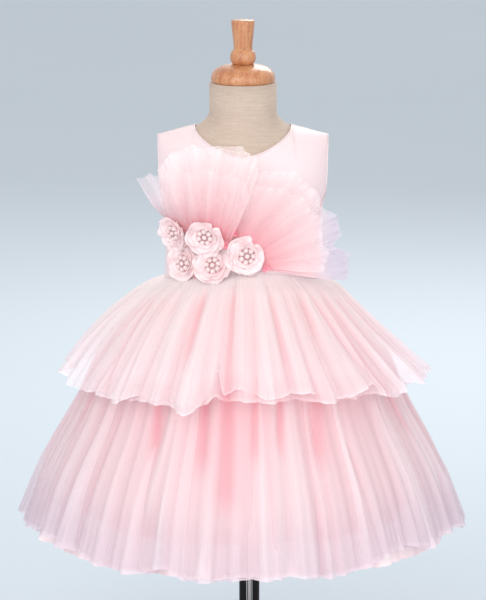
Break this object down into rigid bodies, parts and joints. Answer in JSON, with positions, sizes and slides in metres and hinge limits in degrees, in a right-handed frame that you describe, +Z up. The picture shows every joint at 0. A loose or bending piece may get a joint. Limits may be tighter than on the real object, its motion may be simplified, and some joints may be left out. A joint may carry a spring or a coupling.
{
  "type": "toddler party dress on a limbless dress form with stand",
  "caption": "Sleeveless toddler party dress: satin bodice with pleated net fans and bead-centred flowers, tiered gathered net skirt, on a limbless dress form with stand.",
  "frame": {"origin": "on the floor, under the middle of the skirt", "axes": "+Z up, the dress's front faces -Y, +X is on the right as seen from the front"},
  "size_m": [0.57, 0.5698, 0.8612],
  "materials": {
    "satin": "pale pink satin",
    "net": "soft pink net, gathered",
    "fan_net": "soft pink net, pleated",
    "lining": "pink satin lining, seen through the net",
    "petal": "pale pink chiffon petals",
    "pearl": "pearlescent",
    "linen": "natural linen over a smooth form",
    "wood": "turned and varnished",
    "black_metal": "gloss black",
    "pale_metal": "satin",
    "zip": "pink coil zip with a coated slider and tab"
  },
  "bodies": {
    "dress_on_form": {"bodice_front": "satin", "bodice_back_left": "satin", "bodice_back_right": "satin", "back_zip": "zip", "zip_slider": "zip", "skirt_tier_upper_front": "net", "skirt_tier_upper_back": "net", "skirt_tier_lower_front": "net", "skirt_tier_lower_back": "net", "skirt_under_net_front": "net", "skirt_under_net_back": "net", "skirt_lining_front": "lining", "skirt_lining_back": "lining", "fan_left_back": "fan_net", "fan_left_front": "fan_net", "fan_right_back": "fan_net", "fan_right_front": "fan_net", "flower_1": "petal", "flower_2": "petal", "flower_3": "petal", "flower_4": "petal", "flower_5": "petal", "flower_1_pearls": "pearl", "flower_2_pearls": "pearl", "flower_3_pearls": "pearl", "flower_4_pearls": "pearl", "flower_5_pearls": "pearl", "form_body": "linen", "form_cap": "wood", "form_knob": "wood", "stand_base": "black_metal", "stand_pole_left": "black_metal", "stand_pole_middle": "pale_metal", "stand_pole_right": "black_metal"},
    "pull_tab": {"zip_pull": "zip"}
  },
  "joints": [
    {"name": "pull_tab_swing", "type": "hinge", "parent": "dress_on_form", "child": "pull_tab", "pos_m": [0, 0.06116, 0.70141], "axis": [1, 0, 0], "range_deg": [0, 150]}
  ]
}
